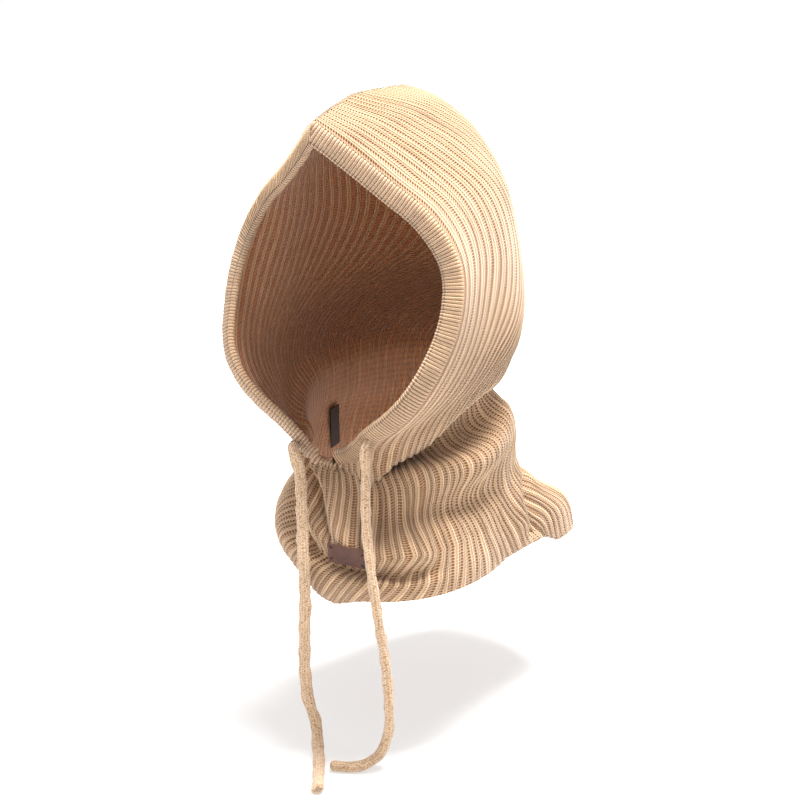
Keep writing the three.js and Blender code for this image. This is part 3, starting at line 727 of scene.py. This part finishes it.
# Cords
def free_cord(key, points, frames):
    """A free end of the drawstring, from inside its eyelet through the points to its tip."""
    centre, across, face = frames
    low = np.where(centre[:, 2] < BAND_MIDDLE_Z)[0]
    k = low[np.argmin(np.abs(centre[low, 0] - EYELET_X[key]))]
    along, out = EYELET_WAY[key]
    way = across[k] * along + face[k] * out
    start = centre[k] + way * EYELET_START[key]
    smooth = curve_points([start, start + way * EYELET_OUT[key]] + points, CORD_CURVE_STEPS)
    length = np.linalg.norm(np.diff(smooth, axis=0), axis=1).sum()
    line, length = resample(smooth, int(length / CORD_STEP))
    count = len(line)
    tangent = unit(np.gradient(line, axis=0))
    # The side direction is carried along the cord without twisting.
    side = np.zeros_like(line)
    side[0] = unit(np.cross(tangent[0], [0.3, 0.2, 1.0]))
    for i in range(1, count):
        side[i] = unit(side[i - 1] - tangent[i] * (side[i - 1] * tangent[i]).sum())
    other = np.cross(tangent, side)
    run = np.linspace(0, length, count)
    seed = CORD_SEED[key]
    uneven = ripple(run, 0, [(1 / 37, 0, seed), (1 / 61, 0, seed * 2 + 1), (1 / 19, 0, 2.2)])
    radius = CORD_DIAMETER / 2 * (1 + CORD_UNEVEN * uneven)
    radius = radius * (CORD_NARROW + (1 - CORD_NARROW) * smoothstep(run, *CORD_WIDENS))
    thick = smoothstep(run, length - CORD_END_RUN[0], length - CORD_END_RUN[1])
    radius = radius * (1 + CORD_THICK_END * thick)
    into_tip = ((run - (length - CORD_TIP)) / CORD_TIP_RADIUS).clip(0)
    closing = np.sqrt(np.clip(1 - into_tip**2, 0.02, 1))
    turn = np.linspace(0, 2 * math.pi, CORD_SIDES, endpoint=False)
    flat = 1 - CORD_FLAT * np.cos(2 * turn)[None, :]
    lumps = sum(high * np.sin(lobes * turn[None, :] + run[:, None] / pitch + share * seed)
                for high, lobes, pitch, share in CORD_LUMPS)
    size = (radius * closing)[:, None] * flat + lumps * closing[:, None]
    ring = (line[:, None] + side[:, None] * (size * np.cos(turn))[..., None]
            + other[:, None] * (size * np.sin(turn))[..., None])
    caps = [np.repeat(line[i][None, None], CORD_SIDES, axis=1) for i in (0, -1)]
    grid = np.concatenate([caps[0], ring, caps[1]])
    wale = turn / (2 * math.pi) * CORD_WALES
    course = np.r_[run[0], run, run[-1]] / CORD_COURSE
    uv = np.stack(np.broadcast_arrays(wale[None, :], course[:, None]), -1)
    made = grid_object(f"Drawstring_{key.title()}", grid, uv, around=True)
    face_outward(made)
    return made


def face_outward(made):
    work = bmesh.new()
    work.from_mesh(made.data)
    bmesh.ops.recalc_face_normals(work, faces=work.faces)
    work.to_mesh(made.data)
    work.free()


# Shader maths
class Value:
    """A number in a node tree, so that shader maths reads as expressions."""

    def __init__(self, graph, socket):
        self.graph = graph
        self.socket = socket

    def __add__(self, other):
        return self.graph.maths("ADD", self, other)

    def __radd__(self, other):
        return self.graph.maths("ADD", other, self)

    def __sub__(self, other):
        return self.graph.maths("SUBTRACT", self, other)

    def __rsub__(self, other):
        return self.graph.maths("SUBTRACT", other, self)

    def __mul__(self, other):
        return self.graph.maths("MULTIPLY", self, other)

    def __rmul__(self, other):
        return self.graph.maths("MULTIPLY", other, self)

    def __truediv__(self, other):
        return self.graph.maths("DIVIDE", self, other)

    def __rtruediv__(self, other):
        return self.graph.maths("DIVIDE", other, self)


class Graph:
    """A material's node tree."""

    def __init__(self, name):
        self.material = bpy.data.materials.new(name)
        self.material.use_nodes = True
        self.tree = self.material.node_tree
        self.tree.nodes.clear()

    def put(self, socket, value):
        if isinstance(value, Value):
            value = value.socket
        if isinstance(value, bpy.types.NodeSocket):
            self.tree.links.new(value, socket)
        else:
            socket.default_value = value

    def node(self, kind, settings, inputs):
        made = self.tree.nodes.new("ShaderNode" + kind)
        for key, value in settings.items():
            setattr(made, key, value)
        for key, value in inputs.items():
            self.put(made.inputs[key], value)
        return made

    def maths(self, operation, *values):
        made = self.node("Math", {"operation": operation}, dict(enumerate(values)))
        return Value(self, made.outputs[0])

    def fract(self, x):
        return self.maths("FRACT", x)

    def size(self, x):
        return self.maths("ABSOLUTE", x)

    def wave(self, x):
        """1 at whole numbers, 0 halfway between."""
        return self.maths("COSINE", x * (2 * math.pi)) * 0.5 + 0.5

    def smooth(self, x, low, high):
        made = self.node("MapRange", {"interpolation_type": "SMOOTHSTEP"},
                         {"Value": x, "From Min": low, "From Max": high})
        return Value(self, made.outputs[0])

    def hill(self, x, middle, width):
        """1 at the middle, 0 a width away."""
        return 1 - self.smooth(self.size(x - middle), 0.0, width)

    def noise(self, vector, scale, detail, rough):
        made = self.node("TexNoise", {}, {"Vector": vector, "Scale": scale, "Detail": detail,
                                          "Roughness": rough})
        return Value(self, made.outputs[0])

    def mix(self, factor, a, b):
        made = self.node("Mix", {"data_type": "RGBA", "clamp_factor": True},
                         {0: factor, 6: a, 7: b})
        return made.outputs[2]

    def yarn(self, part, shade, dark):
        """Yarn from light over mid by the first factor, then to deep by the second."""
        light, mid, deep = (colour(LOOK[f"{part}_{tone}"]) for tone in ("light", "mid", "deep"))
        return self.mix(dark, self.mix(shade, light, mid), deep)

    def stitches(self):
        """Place across the ribs and along them, in ribs and courses."""
        made = self.node("UVMap", {"uv_map": "stitches"}, {})
        parts = self.node("SeparateXYZ", {}, {0: made.outputs[0]})
        return Value(self, parts.outputs[0]), Value(self, parts.outputs[1])

    def place(self):
        return self.node("TexCoord", {}, {}).outputs["Object"]

    def finish(self, shade, rough, height=None, depth=0.0, sheen=0.0, extra=None):
        inputs = {"Base Color": shade, "Roughness": rough, "Sheen Weight": sheen,
                  "Sheen Roughness": 0.5}
        inputs.update(extra or {})
        if height is not None:
            bump = self.node("Bump", {}, {"Height": height, "Distance": depth, "Strength": 1.0})
            inputs["Normal"] = bump.outputs[0]
        shader = self.node("BsdfPrincipled", {}, inputs)
        self.node("OutputMaterial", {}, {"Surface": shader.outputs[0]})
        return self.material


def knit_material(name, part):
    """A rib: a wale of two braided lines, then a valley with small holes between bars.

    c is 0 in the middle of the wale and 0.5 in the middle of the valley. The valleys, holes and
    middle groove are darkened as painted shade, and the legs lightened as painted light.
    """
    g = Graph(name)
    wale, course = g.stitches()
    where = g.place()
    fuzz = g.noise(where, 1300.0, 3.0, 0.65)
    drift = g.noise(where, 110.0, 3.0, 0.55)
    broad = g.noise(where, 16.0, 2.0, 0.5)
    wobble = (drift - 0.5) * 0.5
    x = g.fract(wale + 0.5) - 0.5
    c = g.size(x)
    stitch = course + wobble
    legs = g.hill(c, 0.15, 0.09)
    bead = g.wave(stitch + c * 2.4)
    between = g.smooth(g.wave(stitch), 0.15, 0.7)
    middle = g.hill(c, 0.0, 0.075) * (0.35 + between * 0.65)
    valley = g.smooth(c, 0.18, 0.27)
    rungs = valley * (1 - between) * OPEN_WORK[part]
    holes = g.hill(c, 0.34, 0.13) * (between * OPEN_WORK[part])
    height = (legs * (0.65 + bead * 0.35) - middle * 0.4 - valley * 0.35 - holes * 0.5
              + rungs * 0.35 + fuzz * 0.35)
    # Painted shade in the valleys and painted light on the legs, with the yarn's own uneven
    # tone.
    shade = (0.1 + valley - rungs * 0.5 - legs * (0.1 + bead * 0.15)
             + (fuzz - 0.5) * 1.2 + (broad - 0.5) * 0.3 + (drift - 0.5) * 0.4)
    # Painted shade in the holes and in the groove down the wale, with the yarn's own uneven
    # tone.
    dark = holes + middle * 0.85 + (fuzz - 0.55) * 0.5
    return g.finish(g.yarn(part, shade, dark), 0.9, height=height, depth=0.0011, sheen=0.4)


def band_material():
    """Fine ribs across the band, and a line of stitches near its inner edge."""
    g = Graph("Band_Knit")
    across, rib = g.stitches()
    where = g.place()
    fuzz = g.noise(where, 1400.0, 3.0, 0.65)
    drift = g.noise(where, 100.0, 2.0, 0.5)
    x = g.fract(rib + 0.5) - 0.5
    c = g.size(x)
    legs = g.hill(c, 0.16, 0.2)
    slant = g.wave(across / 1.8 + c * 1.4 + (drift - 0.5))
    gap = g.smooth(c, 0.3, 0.46)
    lip = g.hill(across, 3.6, 1.1)
    dots = lip * g.smooth(g.wave(rib + 0.25), 0.35, 0.8)
    height = legs * (0.6 + slant * 0.4) - gap * 0.7 - lip * 0.5 - dots * 0.5 + fuzz * 0.35
    # Painted shade in the gaps between ribs, between slanted stitches and along the lip; the
    # noise is the yarn's own tone.
    shade = (0.03 + gap * 0.85 + (1 - slant) * 0.25 + lip * 0.2
             + (fuzz - 0.5) * 1.2 + (drift - 0.5) * 0.4)
    # Painted shade in the gaps and in the dots of the lip's stitches, with the yarn's own uneven
    # tone.
    dark = gap * (0.2 + (1 - slant) * 0.45) + dots * 0.8 + (fuzz - 0.55) * 0.4
    return g.finish(g.yarn("band", shade, dark), 0.9, height=height, depth=0.0008, sheen=0.4)


def cord_material():
    """A fuzzy narrow knitted tube."""
    g = Graph("Cord_Knit")
    around, along = g.stitches()
    where = g.place()
    fuzz = g.noise(where, 1500.0, 3.0, 0.7)
    speckle = g.noise(where, 620.0, 3.0, 0.6)
    drift = g.noise(where, 130.0, 3.0, 0.6)
    wobble = (drift - 0.5) * 0.8
    x = g.fract(around + 0.5 + wobble * 0.3) - 0.5
    c = g.size(x)
    legs = g.hill(c, 0.2, 0.24)
    bead = g.wave(along + c * 1.6 + wobble)
    height = legs * (0.4 + bead * 0.6) + fuzz * 0.5 + speckle * 0.9
    # Painted shade between the legs and the beads; the speckles and the noise are the yarn's own
    # tone.
    shade = ((1 - legs) * 0.35 + (1 - bead) * 0.3 + g.smooth(speckle, 0.5, 0.62) * 0.6
             + (fuzz - 0.5) * 1.3 + (drift - 0.5) * 0.6)
    # The yarn's own dark speckles, and painted shade where the stitches meet.
    dark = g.smooth(speckle, 0.58, 0.72) * 0.7 + (1 - legs) * (1 - bead) * 0.3
    return g.finish(g.yarn("cord", shade, dark), 0.95, height=height, depth=0.0009, sheen=0.4)


def leather_material():
    """Fine grain in small cells, mottled and a little worn."""
    g = Graph("Leather")
    where = g.place()
    cells = g.node("TexVoronoi", {"feature": "DISTANCE_TO_EDGE"},
                   {"Vector": where, "Scale": 900.0})
    grain = g.smooth(Value(g, cells.outputs[0]), 0.0, 0.25)
    mottle = g.noise(where, 260.0, 4.0, 0.6)
    wear = g.noise(where, 70.0, 2.0, 0.5)
    dark = (mottle - 0.5) * 1.1 + (wear - 0.5) * 0.9 + 0.35 + (1 - grain) * 0.25
    shade = g.mix(dark, colour(LOOK["leather"]), colour(LOOK["leather_deep"]))
    rough = 0.45 + mottle * 0.25
    return g.finish(shade, rough, height=grain * 0.6 + mottle * 0.4, depth=0.0002)


def label_material():
    """A fine plain weave."""
    g = Graph("Label_Cloth")
    parts = g.node("SeparateXYZ", {}, {0: g.place()})
    y, z = Value(g, parts.outputs[1]), Value(g, parts.outputs[2])
    weave = g.wave(z * 1500.0) * 0.5 + g.wave(y * 1500.0) * 0.5
    shade = g.mix(weave, colour(LOOK["label"]), colour(LOOK["label_weft"]))
    return g.finish(shade, 0.8, height=weave, depth=0.0001)


def plain_material(name, text, rough, extra=None):
    """One even colour."""
    return Graph(name).finish(colour(text), rough, extra=extra)


# Flat pieces
def node_frame(name):
    """Centre, axes and sizes of a plate among the CAD nodes, longest axis first."""
    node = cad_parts[name]
    p = np.array([v.co for v in node.data.vertices])
    centre = (p.max(0) + p.min(0)) / 2
    for _ in range(2):
        _, vectors = np.linalg.eigh(np.cov((p - centre).T))
        q = (p - centre) @ vectors
        centre = centre + vectors @ ((q.max(0) + q.min(0)) / 2)
    q = (p - centre) @ vectors
    size = q.max(0) - q.min(0)
    return centre, vectors[:, ::-1].T, size[::-1]


def plate_object(name, node, ahead, thicker, bevel, raised=0):
    """Bevelled plate on the frame of a CAD node, with its face ahead."""
    centre, axes, size = node_frame(node)
    _, up, normal = axes
    if normal @ np.array(ahead) < 0:
        normal = -normal
    if up[2] < -0.3:
        up = -up
    across = np.cross(up, normal)
    bpy.ops.object.select_all(action="DESELECT")
    bpy.ops.mesh.primitive_cube_add(size=1)
    made = bpy.context.object
    made.name = name
    made.scale = [size[0], size[1], size[2] + thicker * MM]
    bpy.ops.object.transform_apply(location=False, rotation=False, scale=True)
    bpy.ops.object.mode_set(mode="EDIT")
    bpy.ops.mesh.select_all(action="SELECT")
    bpy.ops.mesh.bevel(offset=bevel * MM, segments=PLATE_BEVEL_STEPS, affect="EDGES")
    bpy.ops.object.mode_set(mode="OBJECT")
    turn = Matrix((across, up, normal)).transposed().to_4x4()
    turn.translation = Vector(centre) + Vector(PATCH_UP) * raised * MM
    made.matrix_world = turn
    bpy.ops.object.transform_apply(location=True, rotation=True, scale=True)
    bpy.ops.object.shade_smooth_by_angle(angle=PLATE_SMOOTH)
    return made


# The pieces
knit_skin = knit_material("Ribbed_Knit", "yarn")
# The inside's material is the same knit in darker, warmer colours, as painted shade.
inner_painted_shade_skin = knit_material("Ribbed_Knit_Inside_Painted_Shade", "inner")
band, band_lines = face_band()
cords = {key: free_cord(key, CORDS[key], band_lines[key]) for key in ("left", "right")}
body = knit_body()
inside = knit_inside()
inside.data.flip_normals()
for made, skin in ((body, knit_skin), (inside, inner_painted_shade_skin)):
    made.data.materials.append(skin)
band.data.materials.append(band_material())
face_outward(band)
cord_skin = cord_material()
for key, made in cords.items():
    made.data.materials.append(cord_skin)
    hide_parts(f"drawstring_{key}")

patch = plate_object("Leather_Patch", "leather_patch", (0, -1, 0), thicker=0.4, bevel=0.45,
                     raised=PATCH_RAISED)
patch.data.materials.append(leather_material())
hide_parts("leather_patch")
label = plate_object("Inner_Label", "inner_label", (1, -0.5, 0), thicker=0, bevel=0.2)
label.data.materials.append(label_material())
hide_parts("inner_label")
thread = plain_material("Thread", LOOK["thread"], 0.7)
stitches = []
for k in range(1, 5):
    made = plate_object(f"Patch_Stitch_{k}", f"patch_stitch_{k}", (0, -1, 0), thicker=0.2,
                        bevel=0.2, raised=PATCH_RAISED)
    made.data.materials.append(thread)
    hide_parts(f"patch_stitch_{k}")
    stitches.append(made)

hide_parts("knit_body")
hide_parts("face_band", "drawstring_run")
for made in [body, inside, band, patch, label, *cords.values(), *stitches]:
    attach(made, "root")

# Stage
bpy.ops.mesh.primitive_plane_add(size=FLOOR_SIZE, location=(0, 0, (FLOOR - ORIGIN[2]) * MM))
floor = bpy.context.object
floor.name = "Floor"
floor.data.materials.append(plain_material("Floor_White", LOOK["floor"], 0.9, {
    "Emission Color": colour(LOOK["floor_glow"]), "Emission Strength": 0.5}))


def area_light(name, spot, aim, size, power):
    bpy.ops.object.light_add(type="AREA", location=spot)
    light = bpy.context.object
    light.name = name
    light.data.size = size
    light.data.energy = power
    light.data.color = LIGHT_TINT
    light.rotation_mode = "QUATERNION"
    light.rotation_quaternion = (Vector(aim) - Vector(spot)).to_track_quat("-Z", "Y")


area_light("Key", (0.2, 0.4, 1.93), (0, 0, -0.1), size=1.0, power=165)
area_light("Fill", (-1.8, -0.8, 0.5), (0, 0, -0.2), size=1.5, power=9)
world = bpy.data.worlds.new("Studio")
world.use_nodes = True
sky = world.node_tree.nodes["Background"]
sky.inputs["Color"].default_value = (1, 1, 1, 1)
sky.inputs["Strength"].default_value = WORLD_LIGHT
bpy.context.scene.world = world
bpy.context.scene.view_settings.view_transform = "Standard"
